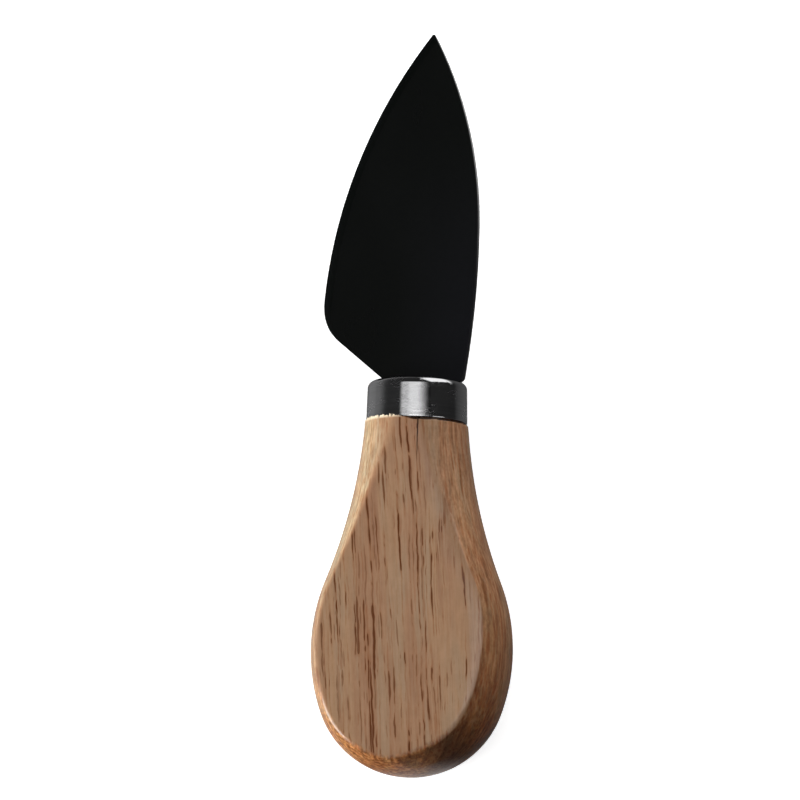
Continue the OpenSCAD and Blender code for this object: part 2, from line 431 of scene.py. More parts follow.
# Strengths of the wood's streaks and relief, and its lacquer
END_RAGGEDNESS = 0.8
FACE_STREAKS = 0.14
SIDE_STREAKS = 1.6
FIBRE_RELIEF = 0.25
SPECKLE_RELIEF = 2.0
WOOD_BUMP = 0.35
WOOD_BUMP_DEPTH = 0.05 * MM
WOOD_SPECULAR = 0.05
LACQUER_WEIGHT = 0.7
LACQUER_ROUGHNESS = 0.2

# Steel
STEEL_DULL = (0.56, 0.56, 0.57, 1)
STEEL_BRIGHT = (0.68, 0.68, 0.69, 1)
STEEL_WEAR = (0.7, 1.3)
STEEL_ROUGHNESS = (0.0, 1.0, 0.06, 0.13)
STEEL_BUMP = 0.2
STEEL_BUMP_DEPTH = 0.01 * MM
LINE_SIZE = (9 * MM, 0.33 * MM, 9 * MM)
SMEAR_SIZE = (5 * MM, 3 * MM, 5 * MM)
SCRATCH_LEANS = (math.radians(20), math.radians(-35))
SCRATCH_SIZE = (3 * MM, 0.5 * MM, 3 * MM)
SCRATCH_EDGE = (0.010, 0.003)
SCRATCHED_PARTS = (0.42, 0.62)
SCRATCH_ROUGHNESS = 0.18
SCRATCH_RELIEF = 0.4

# Coating
COATING_DEEP = (0.0016, 0.0021, 0.0018, 1)
COATING_HAZY = (0.0027, 0.0031, 0.0030, 1)
# Faint painted sheen near the ferrule
COATING_SHEEN = (0.0048, 0.0050, 0.0066, 1)
COATING_ROUGHNESS = (0.3, 0.7, 0.26, 0.34)
COATING_SPECULAR = 0.12
# Where the painted sheen comes in
SHEEN_TO_RIGHT = (-4 * MM, 8 * MM)
SHEEN_TO_FERRULE = (45 * MM, 10 * MM)
HAZE_SIZE = (12 * MM, 20 * MM, 12 * MM)
PEEL_SIZE = (0.5 * MM, 0.5 * MM, 0.5 * MM)
PEEL_BUMP = 0.05
PEEL_DEPTH = 0.01 * MM

# Adhesive
EPOXY_DEEP = (0.55, 0.42, 0.15, 1)
EPOXY_CLOUDY = (0.62, 0.52, 0.24, 1)
EPOXY_ROUGHNESS = (0.3, 0.7, 0.2, 0.4)
CLOUD_SIZE = (2 * MM, 3 * MM, 2 * MM)


def swayed(nodes, grain, reach, size):
    """Grain coordinates pushed sideways by a slow noise."""
    push = nodes.noise(grain, size, detail=SLOW_DETAIL)["Color"]
    push = nodes.vector("SUBTRACT", push, (NOISE_MEAN, NOISE_MEAN, NOISE_MEAN))
    return nodes.vector("ADD", grain, nodes.vector("MULTIPLY", push, (reach, 0, reach)))


def off_mean(nodes, noise, strength):
    """How far a noise is from its mean, times a strength."""
    return nodes.product(nodes.math("SUBTRACT", noise, NOISE_MEAN), strength)


def pore_lines(nodes, grain, crowding, width, dash, reach, darkness):
    """Masks of needle-shaped pores that come and go along the grain, and of the stained wood round them."""
    cell = nodes.vessels(grain, width)
    chance = nodes.add("ShaderNodeSeparateColor", {0: cell["Color"]}).outputs
    along = nodes.math("DIVIDE", nodes.parts(grain)["Y"], dash)
    along = nodes.math("ADD", along, nodes.product(chance[1], PORE_SHUFFLE))
    settings = {"W": along, "Scale": 1.0, "Detail": PORE_DETAIL}
    depth = nodes.add("ShaderNodeTexNoise", settings, noise_dimensions="1D").outputs[0]
    sunk = nodes.ramp(nodes.math("ADD", depth, crowding), *PORE_OPENING, reach, 0.0)
    away = nodes.math("ADD", cell["Distance"], sunk)
    tone = nodes.ramp(chance[0], 0.0, 1.0, darkness * PALEST_PORE, darkness)
    core = nodes.ramp(away, reach, reach * PORE_CORE, smooth=True)
    halo = nodes.ramp(away, reach * HALO_OUTSIDE, reach * HALO_INSIDE, smooth=True)
    return nodes.product(core, tone), nodes.product(halo, tone)


def face_pores(nodes, grain, bands):
    """Masks of every kind of pore on the flats, crowded in some bands, and of the stained wood round them."""
    quivering = swayed(nodes, swayed(nodes, grain, QUIVER, QUIVER_SIZE), TREMBLE, TREMBLE_SIZE)
    clusters = nodes.noise(grain, CLUSTER_SIZE)["Fac"]
    crowding = nodes.ramp(nodes.math("ADD", bands, clusters), *CROWDING)
    pores = 0.0
    halo = 0.0
    for kind in PORE_KINDS:
        core, ring = pore_lines(nodes, quivering, crowding, *kind)
        pores = nodes.math("MAXIMUM", pores, core)
        halo = nodes.math("MAXIMUM", halo, ring)
    return pores, halo


def neck_check(nodes, point, upward):
    """Mask of the fine check that runs from the ferrule's mouth into the front flat."""
    across = nodes.parts(swayed(nodes, point, CHECK_SWAY, TREMBLE_SIZE))["X"]
    along = nodes.parts(point)["Y"]
    off = nodes.math("ABSOLUTE", nodes.math("SUBTRACT", across, CHECK_X))
    off = nodes.math("SUBTRACT", off, nodes.ramp(along, CHECK_END_Y, NECK_Y, 0.0, CHECK_HALF_WIDTH))
    split = nodes.ramp(off, CHECK_BLUR, -CHECK_BLUR)
    taper = nodes.ramp(along, CHECK_END_Y, CHECK_END_Y + CHECK_TAPER)
    return nodes.product(split, taper, nodes.math("GREATER_THAN", upward, FRONT_FACING))


def off_the_flats(nodes, facing, fibres):
    """How far the surface turns to the left side, to the right side and to the butt's end grain."""
    left_side = nodes.ramp(facing["X"], *LEFT_SIDE, smooth=True)
    right_side = nodes.ramp(facing["X"], *RIGHT_SIDE, smooth=True)
    ragged = nodes.math("ADD", facing["Y"], off_mean(nodes, fibres, END_RAGGEDNESS))
    end_grain = nodes.ramp(ragged, *END_GRAIN, smooth=True)
    end_grain = nodes.product(end_grain, nodes.ramp(facing["Y"], *END_GRAIN_LIMIT))
    return left_side, right_side, end_grain


def face_colour(nodes, grain, bands, fibres):
    """Tan wood in pink bands and in grey and rose patches, with pale fibres."""
    patches = nodes.noise(grain, PATCH_SIZE)["Fac"]
    colour = nodes.blend(nodes.ramp(bands, *PINK_BANDS, smooth=True), WOOD_TAN, WOOD_PINK)
    colour = nodes.blend(nodes.ramp(patches, *GREY_PATCHES, smooth=True), colour, WOOD_GREY)
    colour = nodes.blend(nodes.ramp(patches, *ROSE_PATCHES, smooth=True), colour, WOOD_ROSE)
    return nodes.blend(nodes.ramp(fibres, *PALE_FIBRES), colour, WOOD_PALE)


def end_grain_stain_glints_and_shade(nodes, facing, speckle):
    """Speckled stain of the end grain, its pale speckles partly painted glints, calmer towards the right,
    with painted shade on the right of the butt.
    """
    # Dark and pale speckles, the pale ones partly painted glints
    stain = nodes.blend(nodes.ramp(speckle, *END_SPECKLES), WOOD_END, WOOD_END_PALE_AND_GLINTS)
    stain = nodes.blend(nodes.ramp(facing["X"], *END_CALM), stain, WOOD_END_CALM)
    # Painted shade on the right of the butt
    painted_shade = nodes.product(
        nodes.ramp(facing["X"], *END_SHADE_FROM_RIGHT, smooth=True),
        nodes.ramp(facing["X"], *END_SHADE_FROM_MIDDLE, smooth=True),
        nodes.ramp(facing["Z"], *END_SHADE_FROM_BELOW, smooth=True),
    )
    return nodes.blend(painted_shade, stain, WOOD_END_PAINTED_SHADE)


def lacquered_wood():
    """Open-pored tan wood under a satin lacquer, its grain running along the handle."""
    material, nodes, shader, point = fresh_material("lacquered_wood")
    facing = nodes.parts(nodes.add("ShaderNodeNewGeometry").outputs["Normal"])
    grain = swayed(nodes, nodes.turned(point, GRAIN_LEAN), WANDER, WANDER_SIZE)
    turned_grain = nodes.attribute("turned_grain")["Vector"]
    bands = nodes.noise(grain, BAND_SIZE)["Fac"]
    fibres = nodes.noise(grain, FIBRE_SIZE, detail=FINE_DETAIL, rough=FIBRE_ROUGHNESS)["Fac"]
    speckle = nodes.noise(point, SPECKLE_SIZE)["Fac"]
    left_side, right_side, end_grain = off_the_flats(nodes, facing, fibres)
    side_grain = nodes.math("MAXIMUM", left_side, right_side)

    # Pores and the rusty wood round them
    pores, halo = face_pores(nodes, grain, bands)
    side_halo = pore_lines(nodes, turned_grain, 0.0, *SIDE_PORES)[1]
    flatness = nodes.math("ABSOLUTE", facing["Z"])
    open_pores = nodes.product(pores, nodes.ramp(flatness, *OPEN_ON_FLATS))
    rust = nodes.math("MAXIMUM", nodes.product(halo, HALO_STRENGTH), nodes.ramp(fibres, *RUSTY_FIBRES))
    rust = nodes.math("MAXIMUM", rust, nodes.product(side_halo, side_grain, SIDE_HALO_STRENGTH))
    colour = nodes.blend(rust, face_colour(nodes, grain, bands, fibres), WOOD_HALO)
    colour = nodes.blend(open_pores, colour, WOOD_PORE)

    # Streaks, mottle and flecks, stronger on the sides, which are also made darker
    streaks = nodes.noise(turned_grain, STREAK_SIZE, detail=FINE_DETAIL, rough=FIBRE_ROUGHNESS)["Fac"]
    off_face = nodes.math("MAXIMUM", side_grain, end_grain)
    off_pole = nodes.ramp(facing["Y"], *BUTT_POLE)
    streaks = nodes.product(off_mean(nodes, streaks, SIDE_STREAKS), off_face, off_pole)
    streaks = nodes.math("ADD", off_mean(nodes, fibres, FACE_STREAKS), streaks)
    mottle = nodes.noise(point, MOTTLE_SIZE, detail=FINE_DETAIL)["Fac"]
    flecks = nodes.noise(point, FLECK_SIZE)["Fac"]
    shade = nodes.math("ADD", nodes.ramp(mottle, *MOTTLE_SHADE), streaks)
    shade = nodes.math("ADD", shade, nodes.product(flecks, nodes.ramp(side_grain, *FLECKS_TO_SIDE)))
    shade = nodes.math("SUBTRACT", shade, nodes.ramp(side_grain, *SHADE_TO_SIDE))
    colour = nodes.vector("SCALE", colour)
    nodes.feed(colour.node.inputs["Scale"], shade)

    # Stains and painted light off the flats, then the wear, the gap's painted shade and the check at the
    # ferrule's mouth
    along = nodes.parts(point)["Y"]
    for share, stain in (
        # Paler wood and painted sheen on the left
        (nodes.product(left_side, nodes.ramp(along, *LEFT_PALENESS_AND_SHEEN)), WOOD_LEFT_PALE_AND_SHEEN),
        # Darker tone and painted shade on the right
        (nodes.product(right_side, nodes.ramp(along, *RIGHT_TONE_AND_SHADE)), WOOD_RIGHT_TONE_AND_SHADE),
        # The end grain's stain, with painted glints and painted shade
        (end_grain, end_grain_stain_glints_and_shade(nodes, facing, speckle)),
    ):
        colour = nodes.vector("MULTIPLY", colour, nodes.blend(share, WHITE, stain))
    # Torn fibres, partly a painted highlight, and painted shade in the mouth's gap
    for name, stain in (("torn", WOOD_TORN_AND_HIGHLIGHT), ("painted_gap_shade", WOOD_GAP_SHADE_AND_CHECK)):
        colour = nodes.blend(nodes.ramp(nodes.attribute(name)["Fac"], *WEAR_AND_SHADE_EDGE), colour, stain)
    colour = nodes.blend(neck_check(nodes, point, facing["Z"]), colour, WOOD_GAP_SHADE_AND_CHECK)

    relief = nodes.math("SUBTRACT", nodes.product(fibres, FIBRE_RELIEF), open_pores)
    relief = nodes.math("ADD", relief, nodes.product(speckle, end_grain, SPECKLE_RELIEF))
    nodes.feed_all(shader, {
        "Base Color": colour,
        "Roughness": nodes.ramp(fibres, *WOOD_ROUGHNESS),
        "Normal": nodes.bump(relief, WOOD_BUMP, WOOD_BUMP_DEPTH),
        "Specular IOR Level": WOOD_SPECULAR,
        "Coat Weight": LACQUER_WEIGHT,
        "Coat Roughness": LACQUER_ROUGHNESS,
    })
    return material


def polished_steel():
    """Drawn and polished steel, with faint lines round it from the polishing wheel and a few scratches."""
    material, nodes, shader, point = fresh_material("polished_steel")
    lines = nodes.noise(point, LINE_SIZE, detail=FINE_DETAIL)["Fac"]
    smears = nodes.noise(point, SMEAR_SIZE)["Fac"]
    worn = nodes.ramp(nodes.math("ADD", lines, smears), *STEEL_WEAR)
    scratches = 0.0
    for lean in SCRATCH_LEANS:
        rubs = nodes.noise(nodes.turned(point, lean), SCRATCH_SIZE, detail=SLOW_DETAIL)["Fac"]
        off_line = nodes.math("ABSOLUTE", nodes.math("SUBTRACT", rubs, NOISE_MEAN))
        scratches = nodes.math("MAXIMUM", nodes.ramp(off_line, *SCRATCH_EDGE), scratches)
    scratches = nodes.product(scratches, nodes.ramp(smears, *SCRATCHED_PARTS))
    scratch_roughness = nodes.product(scratches, SCRATCH_ROUGHNESS)
    relief = nodes.math("SUBTRACT", lines, nodes.product(scratches, SCRATCH_RELIEF))
    nodes.feed_all(shader, {
        "Base Color": nodes.blend(worn, STEEL_DULL, STEEL_BRIGHT),
        "Roughness": nodes.math("ADD", nodes.ramp(worn, *STEEL_ROUGHNESS), scratch_roughness),
        "Normal": nodes.bump(relief, STEEL_BUMP, STEEL_BUMP_DEPTH),
        "Metallic": 1.0,
    })
    return material


def black_coating():
    """Baked black coating with a fine orange peel, and a faint painted sheen near the ferrule."""
    material, nodes, shader, point = fresh_material("black_coating")
    peel = nodes.noise(point, PEEL_SIZE)["Fac"]
    haze = nodes.noise(point, HAZE_SIZE, detail=FINE_DETAIL)["Fac"]
    place = nodes.parts(point)
    # Painted sheen, rising towards the right and the ferrule
    painted_sheen = nodes.ramp(place["X"], *SHEEN_TO_RIGHT)
    painted_sheen = nodes.product(painted_sheen, nodes.ramp(place["Y"], *SHEEN_TO_FERRULE))
    colour = nodes.blend(haze, COATING_DEEP, COATING_HAZY)
    nodes.feed_all(shader, {
        "Base Color": nodes.blend(painted_sheen, colour, COATING_SHEEN),
        "Roughness": nodes.ramp(haze, *COATING_ROUGHNESS),
        "Normal": nodes.bump(peel, PEEL_BUMP, PEEL_DEPTH),
        "Specular IOR Level": COATING_SPECULAR,
    })
    return material


def cured_epoxy():
    """Amber adhesive, clouded a little."""
    material, nodes, shader, point = fresh_material("cured_epoxy")
    cloud = nodes.noise(point, CLOUD_SIZE)["Fac"]
    nodes.feed_all(shader, {
        "Base Color": nodes.blend(cloud, EPOXY_DEEP, EPOXY_CLOUDY),
        "Roughness": nodes.ramp(cloud, *EPOXY_ROUGHNESS),
    })
    return material


# Handle

def held(share):
    """A share kept from nought to one."""
    return min(max(share, 0), 1)


def between(first, second, share):
    """A value part of the way from one to another."""
    return first + (second - first) * share


def circles_meet(first, first_r, second, second_r):
    """The meeting point of two circles that lies further along the handle's axis."""
    across = second - first
    gap = across.length
    along = (gap * gap + first_r * first_r - second_r * second_r) / (2 * gap)
    aside = math.sqrt(first_r * first_r - along * along)
    unit = across / gap
    foot = first + unit * along
    normal = Vector((-unit.y, unit.x)) * aside
    return max(foot + normal, foot - normal, key=lambda corner: corner.x)


def arc(centre, radius, start, end):
    """Points of an arc, each with the angle of its normal; a hollow arc has a negative radius."""
    steps = max(LEAST_ARC_STEPS, math.ceil(abs(radius * (end - start)) / PROFILE_STEP))
    for step in range(steps + 1):
        angle = start + (end - start) * step / steps
        yield centre + Vector((math.cos(angle), math.sin(angle))) * radius, angle


def straight(start, end):
    """Points of a straight stretch, each with the angle of its normal, on the right of the way it runs."""
    way = end - start
    angle = math.atan2(-way.x, way.y)
    steps = max(1, math.ceil(way.length / STRAIGHT_STEP))
    for step in range(steps + 1):
        yield start + way * step / steps, angle


def handle_profile():
    """The handle's outside from the butt to the neck, then its tenon and the tang's hole."""
    neck_r = FERRULE_R + NECK_PROUD
    bulb_c = Vector((BULB_R - BULB_CURVE_R, BUTT_Y + BULB_STATION))
    butt_r = (BULB_CURVE_R**2 - bulb_c.x**2 - BULB_STATION**2) / (2 * (BULB_CURVE_R - BULB_STATION))
    butt_c = Vector((0, BUTT_Y + butt_r))
    neck_edge = Vector((neck_r, NECK_Y - NECK_EDGE_R))
    waist_c = circles_meet(bulb_c, BULB_CURVE_R + WAIST_CURVE_R, neck_edge, WAIST_CURVE_R)
    butt_end = math.atan2(butt_c.y - bulb_c.y, -bulb_c.x)
    bulb_end = math.atan2(waist_c.y - bulb_c.y, waist_c.x - bulb_c.x)
    waist_end = math.atan2(waist_c.y - neck_edge.y, waist_c.x - neck_edge.x)
    edge_c = neck_edge - Vector((NECK_EDGE_R, 0))

    outside = list(arc(butt_c, butt_r, -QUARTER_TURN, butt_end))
    outside += list(arc(bulb_c, BULB_CURVE_R, butt_end, bulb_end))[1:]
    outside += list(arc(waist_c, -WAIST_CURVE_R, bulb_end, waist_end))[1:]
    outside += list(arc(edge_c, NECK_EDGE_R, waist_end, QUARTER_TURN))[1:]
    corners = [
        edge_c + Vector((0, NECK_EDGE_R)),
        Vector((TENON_R, NECK_Y)),
        Vector((TENON_R, TENON_Y)),
        Vector((HOLE_R, TENON_Y)),
        Vector((HOLE_R, HOLE_END_Y)),
        Vector((0, HOLE_END_Y - DRILL_POINT)),
    ]
    inside = []
    for start, end in zip(corners, corners[1:]):
        inside += list(straight(start, end))[1:]
    return outside, inside


def setback(spot):
    """Share of the mouth's gap by which a point of the outside stands back, easing out along the neck."""
    short = NECK_Y - NECK_EDGE_R - spot.y
    return held(1 - short / GAP_RUNOUT)


# What the inside's points hold in place of the flats' sanding
UNSANDED = {
    "easing_left": 0,
    "easing_right": 0,
    "drop_right": 0,
    "facet": 1,
    "shave": 0,
    "crowded": EVEN_EDGE_START,
}


def edge_sanding(spot):
    """How the flats' edges are sanded at a point of the outside."""
    to_neck = spot.y - (BUTT_Y + BULB_STATION)
    proud = spot.x - FLAT_HALF
    fade = held(proud / EASING_FADE) if to_neck > 0 else 1
    dying = EDGE_EASING * proud / NECK_FADE if to_neck > 0 else EDGE_EASING
    palm = held((to_neck - PALM_START) / PALM_BLEND)
    waist = held(to_neck / WAIST_BLEND)
    blunt = held((to_neck - FACET_END) / FACET_BLEND)
    planed = held((SHAVE_END - to_neck) / SHAVE_BLEND)
    return {
        "easing_left": min(max(dying, 0), between(EDGE_EASING, WAIST_EASING, waist)),
        "easing_right": between(EDGE_EASING, PALM_EASING, palm) * fade,
        "drop_right": between(EDGE_EASING, PALM_DROP, palm) * fade,
        "facet": between(1, FACET_SHARPNESS, max(palm * (1 - blunt), planed)),
        "shave": PALM_SHAVE * planed,
        "crowded": between(EVEN_EDGE_START, STEEPEST_EDGE_START, fade),
    }


def profile_mesh(outside, inside):
    """The profile as points that hold their slope, the flats' sanding, and the neck's wear and painted gap
    shade there.
    """
    points = outside + inside
    mesh = bpy.data.meshes.new("handle_profile")
    mesh.from_pydata([(max(spot.x, 0), spot.y, 0) for spot, angle in points], [], [])
    at_mouth = [abs(spot.y - NECK_Y) <= NECK_EDGE_R and spot.x >= TENON_R for spot, angle in points]
    gaps = [setback(spot) for spot, angle in outside]
    gaps += [1 if worn else 0 for worn in at_mouth[len(outside):]]
    values = {
        "slope": [max(math.cos(angle), LEAST_SLOPE) for spot, angle in points],
        "lip": [math.sin(2 * angle) if worn else 0 for (spot, angle), worn in zip(points, at_mouth)],
        # Where shade is painted in the mouth's gap
        "painted_gap_shade": [math.sin(angle) if worn else 0 for (spot, angle), worn in zip(points, at_mouth)],
        "gap": gaps,
    }
    sanding = [edge_sanding(spot) for spot, angle in outside] + [UNSANDED] * len(inside)
    for name in UNSANDED:
        values[name] = [sanded[name] for sanded in sanding]
    for name, held_there in values.items():
        mesh.attributes.new(name, "FLOAT", "POINT").data.foreach_set("value", held_there)
    return mesh


def station_grid(nodes, profile, sides_per_quarter):
    """A grid with a row for each profile point and a column for each side; each point's row and turn."""
    math_of = nodes.math
    stations = nodes.add("GeometryNodeAttributeDomainSize", {0: profile}).outputs["Point Count"]
    sides = math_of("MULTIPLY", sides_per_quarter, 4.0)
    columns = math_of("ADD", sides, 1.0)
    size = {"Vertices X": stations, "Vertices Y": columns}
    grid = nodes.add("GeometryNodeMeshGrid", size).outputs["Mesh"]
    index = nodes.add("GeometryNodeInputIndex").outputs[0]
    row = math_of("FLOOR", math_of("DIVIDE", math_of("ADD", index, 0.5), columns))
    column = math_of("SUBTRACT", index, math_of("MULTIPLY", row, columns))
    return grid, row, math_of("DIVIDE", column, sides)


def side_angle(nodes, station, radius, flat, turn):
    """Angle of each side about the axis, with more sides where the flats' edges run."""
    math_of = nodes.math
    widest = math_of("ADD", station["easing_right"], station["shave"])
    widest = math_of("MAXIMUM", station["easing_left"], widest)
    deepest = math_of("MAXIMUM", station["easing_left"], station["drop_right"])
    safe_r = math_of("MAXIMUM", radius, LEAST_R)
    inner_r = math_of("SUBTRACT", safe_r, math_of("DIVIDE", widest, station["slope"]))
    inner_r = math_of("MAXIMUM", inner_r, LEAST_R)
    start_sine = math_of("DIVIDE", math_of("SUBTRACT", flat, deepest), safe_r)
    start = math_of("ARCSINE", math_of("MINIMUM", start_sine, station["crowded"]))
    end_sine = math_of("DIVIDE", flat, inner_r)
    end = math_of("ARCSINE", math_of("MINIMUM", end_sine, STEEPEST_EDGE_END))

    half = math_of("FLOOR", math_of("MULTIPLY", turn, JUST_UNDER_TWO))
    in_half = math_of("SUBTRACT", math_of("MULTIPLY", turn, 2.0), half)
    from_flat = math_of("ABSOLUTE", math_of("SUBTRACT", math_of("MULTIPLY", in_half, 2.0), 1.0))
    to_flat = math_of("SUBTRACT", 1.0, from_flat)
    flank = nodes.ramp(to_flat, 0.0, FLANK_SHARE, 0.0, start)
    edge = nodes.ramp(to_flat, FLANK_SHARE, EDGE_SHARE, 0.0, math_of("SUBTRACT", end, start))
    face = nodes.ramp(to_flat, EDGE_SHARE, 1.0, 0.0, math_of("SUBTRACT", QUARTER_TURN, end))
    rise = math_of("ADD", math_of("ADD", flank, edge), face)
    second = math_of("GREATER_THAN", in_half, 0.5)
    mirrored = math_of("SUBTRACT", math.pi, math_of("MULTIPLY", rise, 2.0))
    angle = math_of("ADD", rise, math_of("MULTIPLY", second, mirrored))
    return math_of("ADD", angle, math_of("MULTIPLY", half, math.pi))


def eased_reach(nodes, station, radius, flat, cosine, sine):
    """Distance from the axis: the turned radius, the flat, or the eased edge between them."""
    math_of = nodes.math
    slope = station["slope"]
    steep = math_of("MAXIMUM", math_of("ABSOLUTE", sine), LEAST_SINE)
    to_right = nodes.ramp(cosine, *PALM_SIDE, smooth=True)
    past_left = nodes.ramp(cosine, *FACET_SIDE, smooth=True)
    across = nodes.between(station["easing_left"], station["easing_right"], to_right)
    across = math_of("MAXIMUM", across, LEAST_EASING)
    down = nodes.between(station["easing_left"], station["drop_right"], to_right)
    down = math_of("MAXIMUM", down, LEAST_EASING)
    curve = math_of("MULTIPLY", across, nodes.between(1.0, station["facet"], past_left))

    # Before easing: the turned flank, planed on the palm side, or the flat
    tilt = math.tan(SHAVE_TILT)
    flat_edge = math_of("MULTIPLY", slope, radius)
    flat_edge = math_of("SUBTRACT", flat_edge, math_of("MULTIPLY", to_right, station["shave"]))
    planed = math_of("ADD", flat_edge, math_of("MULTIPLY", flat, tilt))
    planed = math_of("DIVIDE", planed, math_of("ADD", slope, math_of("MULTIPLY", steep, tilt)))
    sharp = math_of("MINIMUM", math_of("MINIMUM", radius, planed), math_of("DIVIDE", flat, steep))

    # The elliptic edge, met from the axis: a quadratic in the distance, with the side's and the flat's terms
    def paired(first, second):
        """The sum of the products of two pairs."""
        products = [math_of("MULTIPLY", one, other) for one, other in zip(first, second)]
        return math_of("ADD", *products)

    inner_edge = math_of("SUBTRACT", flat_edge, across)
    near_side = math_of("SUBTRACT", math_of("MULTIPLY", sharp, slope), inner_edge)
    near_side = math_of("GREATER_THAN", near_side, 0.0)
    near_flat = math_of("ADD", math_of("SUBTRACT", math_of("MULTIPLY", sharp, steep), flat), down)
    near_flat = math_of("GREATER_THAN", near_flat, 0.0)
    rates = (math_of("DIVIDE", slope, curve), math_of("DIVIDE", steep, down))
    insets = (math_of("DIVIDE", inner_edge, curve), math_of("DIVIDE", math_of("SUBTRACT", flat, down), down))
    square = paired(rates, rates)
    linear = paired(rates, insets)
    constant = math_of("SUBTRACT", paired(insets, insets), 1.0)
    root = math_of("SUBTRACT", math_of("MULTIPLY", linear, linear), math_of("MULTIPLY", square, constant))
    root = math_of("SQRT", math_of("MAXIMUM", root, 0.0))
    rounded = math_of("MINIMUM", math_of("DIVIDE", math_of("ADD", linear, root), square), sharp)
    return nodes.between(sharp, rounded, math_of("MULTIPLY", near_side, near_flat))


def mouth_wear_and_shade(nodes, station, along, cosine, sine):
    """Place along the axis, with fibres torn over the ferrule's mouth on the left, and a gap on the right
    with its painted shade.
    """
    around = nodes.joined(cosine, sine)

    def wear(width, cut, side):
        """Noise round the neck, cut to patches and kept to one side."""
        settings = {
            "Vector": around,
            "Scale": FERRULE_R / width,
            "Detail": WEAR_DETAIL,
            "Roughness": WEAR_ROUGHNESS,
        }
        noise = nodes.add("ShaderNodeTexNoise", settings).outputs[0]
        return nodes.product(nodes.ramp(noise, *cut), nodes.ramp(cosine, *side, smooth=True))

    torn = nodes.product(wear(FRAY_WIDTH, FRAY_CUT, FRAYED_SIDE), station["lip"])
    parted = wear(MOUTH_GAP_WIDTH, GAP_CUT, GAP_SIDE)
    # Painted shade where the gap opens
    painted_gap_shade = nodes.product(parted, station["painted_gap_shade"])
    along = nodes.math("ADD", along, nodes.product(torn, FRAY))
    along = nodes.math("SUBTRACT", along, nodes.product(parted, station["gap"], MOUTH_GAP))
    return along, torn, painted_gap_shade


def turning_tree():
    """Turns a profile about the handle's axis, sands a flat on its front and back and eases their edges."""
    tree = bpy.data.node_groups.new("turned_and_sanded", "GeometryNodeTree")
    sockets = tree.interface
    for name, kind in (
        ("Profile", "NodeSocketGeometry"),
        ("Axis Height", "NodeSocketFloat"),
        ("Flat Half Thickness", "NodeSocketFloat"),
        ("Sides Per Quarter", "NodeSocketInt"),
        ("Finish", "NodeSocketMaterial"),
    ):
        sockets.new_socket(name, in_out="INPUT", socket_type=kind)
    sockets.new_socket("Handle", in_out="OUTPUT", socket_type="NodeSocketGeometry")
    nodes = Nodes(tree)
    given = nodes.add("NodeGroupInput").outputs
    profile = given["Profile"]
    flat = given["Flat Half Thickness"]
    grid, row, turn = station_grid(nodes, profile, given["Sides Per Quarter"])

    def at_station(value, kind):
        """A value that the profile holds at each row of the grid."""
        settings = {0: profile, 1: value, "Index": row}
        return nodes.add("GeometryNodeSampleIndex", settings, data_type=kind).outputs[0]

    station = {}
    for name in ("slope", "lip", "painted_gap_shade", "gap", *UNSANDED):
        value = nodes.add("GeometryNodeInputNamedAttribute", {"Name": name}, data_type="FLOAT").outputs[0]
        station[name] = at_station(value, "FLOAT")
    spot = nodes.add("GeometryNodeInputPosition").outputs[0]
    spot = nodes.parts(at_station(spot, "FLOAT_VECTOR"))
    angle = side_angle(nodes, station, spot["X"], flat, turn)
    cosine = nodes.math("COSINE", angle)
    sine = nodes.math("SINE", angle)
    reach = eased_reach(nodes, station, spot["X"], flat, cosine, sine)
    along, torn, painted_gap_shade = mouth_wear_and_shade(nodes, station, spot["Y"], cosine, sine)
    height = nodes.math("ADD", nodes.product(reach, sine), given["Axis Height"])
    place = nodes.joined(nodes.product(reach, cosine), along, height)
    turned_grain = nodes.joined(
        nodes.product(TURNED_GRAIN_R, cosine), along, nodes.product(TURNED_GRAIN_R, sine)
    )

    shape = grid
    for name, kind, value in (
        ("turned_grain", "FLOAT_VECTOR", turned_grain),
        ("torn", "FLOAT", torn),
        ("painted_gap_shade", "FLOAT", painted_gap_shade),
    ):
        settings = {"Geometry": shape, "Name": name, "Value": value}
        shape = nodes.add("GeometryNodeStoreNamedAttribute", settings, data_type=kind).outputs[0]
    for kind, settings in (
        ("GeometryNodeSetPosition", {"Position": place}),
        ("GeometryNodeMergeByDistance", {"Distance": MERGE_DISTANCE}),
        ("GeometryNodeSetShadeSmooth", {}),
        ("GeometryNodeRealizeInstances", {}),
        ("GeometryNodeSetMaterial", {"Material": given["Finish"]}),
    ):
        shape = nodes.add(kind, {"Geometry": shape, **settings}).outputs[0]
    nodes.feed(nodes.add("NodeGroupOutput").inputs[0], shape)
    return tree


def baked(obj, name):
    """A new object that holds the finished mesh of another one, which is then removed."""
    bpy.context.view_layer.update()
    graph = bpy.context.evaluated_depsgraph_get()
    mesh = bpy.data.meshes.new_from_object(obj.evaluated_get(graph))
    mesh.name = name
    bpy.data.objects.remove(obj)
    return linked(bpy.data.objects.new(name, mesh))


def faced_outwards(mesh):
    """Turns every face of a closed mesh outwards."""
    shape = bmesh.new()
    shape.from_mesh(mesh)
    bmesh.ops.recalc_face_normals(shape, faces=shape.faces[:])
    shape.to_mesh(mesh)
    shape.free()


def turned_handle(finish):
    """The handle: a pear-shaped turning with two sanded flats, a tenon and the tang's hole."""
    blank = linked(bpy.data.objects.new("handle_profile", profile_mesh(*handle_profile())))
    modifier = blank.modifiers.new("turning", "NODES")
    modifier.node_group = turning_tree()
    given = {
        "Axis Height": AXIS_Z,
        "Flat Half Thickness": FLAT_HALF,
        "Sides Per Quarter": SIDES_PER_QUARTER,
        "Finish": finish,
    }
    for socket in modifier.node_group.interface.items_tree:
        if socket.in_out == "INPUT" and socket.name in given:
            modifier[socket.identifier] = given[socket.name]
    handle = baked(blank, "turned_handle")
    faced_outwards(handle.data)
    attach(handle, "root")
    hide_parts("handle")


# Blade

